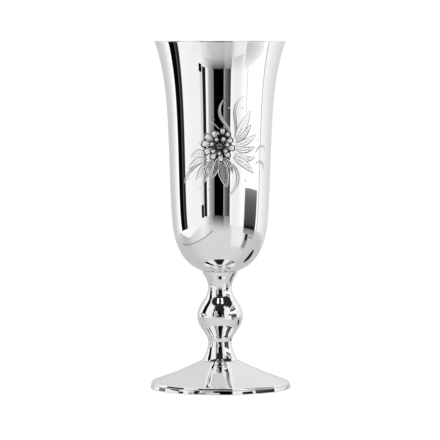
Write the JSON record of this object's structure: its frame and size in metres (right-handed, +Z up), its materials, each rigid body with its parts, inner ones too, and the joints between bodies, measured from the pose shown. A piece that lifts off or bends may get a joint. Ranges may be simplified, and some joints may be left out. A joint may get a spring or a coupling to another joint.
{
  "type": "ciborium vessel",
  "caption": "Tall footed cup with a deep flared bowl, an engraved flower spray, a baluster stem and a conical foot, drawn together by a hidden threaded rod.",
  "frame": {"origin": "on the cup's axis at table level, in the middle of the foot", "axes": "+Z up the axis towards the lip; +X towards a corner of the foot's edge; the engraved flower faces -Y"},
  "size_m": [0.0599, 0.0596, 0.148],
  "materials": {
    "silver": "mirror-polished silver plate",
    "brass_fitting": "turned and threaded brass, unplated",
    "steel_fixing": "plain steel washers"
  },
  "bodies": {
    "root": {"bowl": "silver", "stem_collar": "silver", "knop_upper_shell": "silver", "knop_lower_shell": "silver", "lower_stem": "silver", "foot_dome": "silver", "foot_rim": "silver", "bowl_boss": "brass_fitting", "tie_rod": "brass_fitting", "foot_nut": "brass_fitting", "foot_washer": "steel_fixing", "lock_washer": "steel_fixing"}
  },
  "joints": []
}
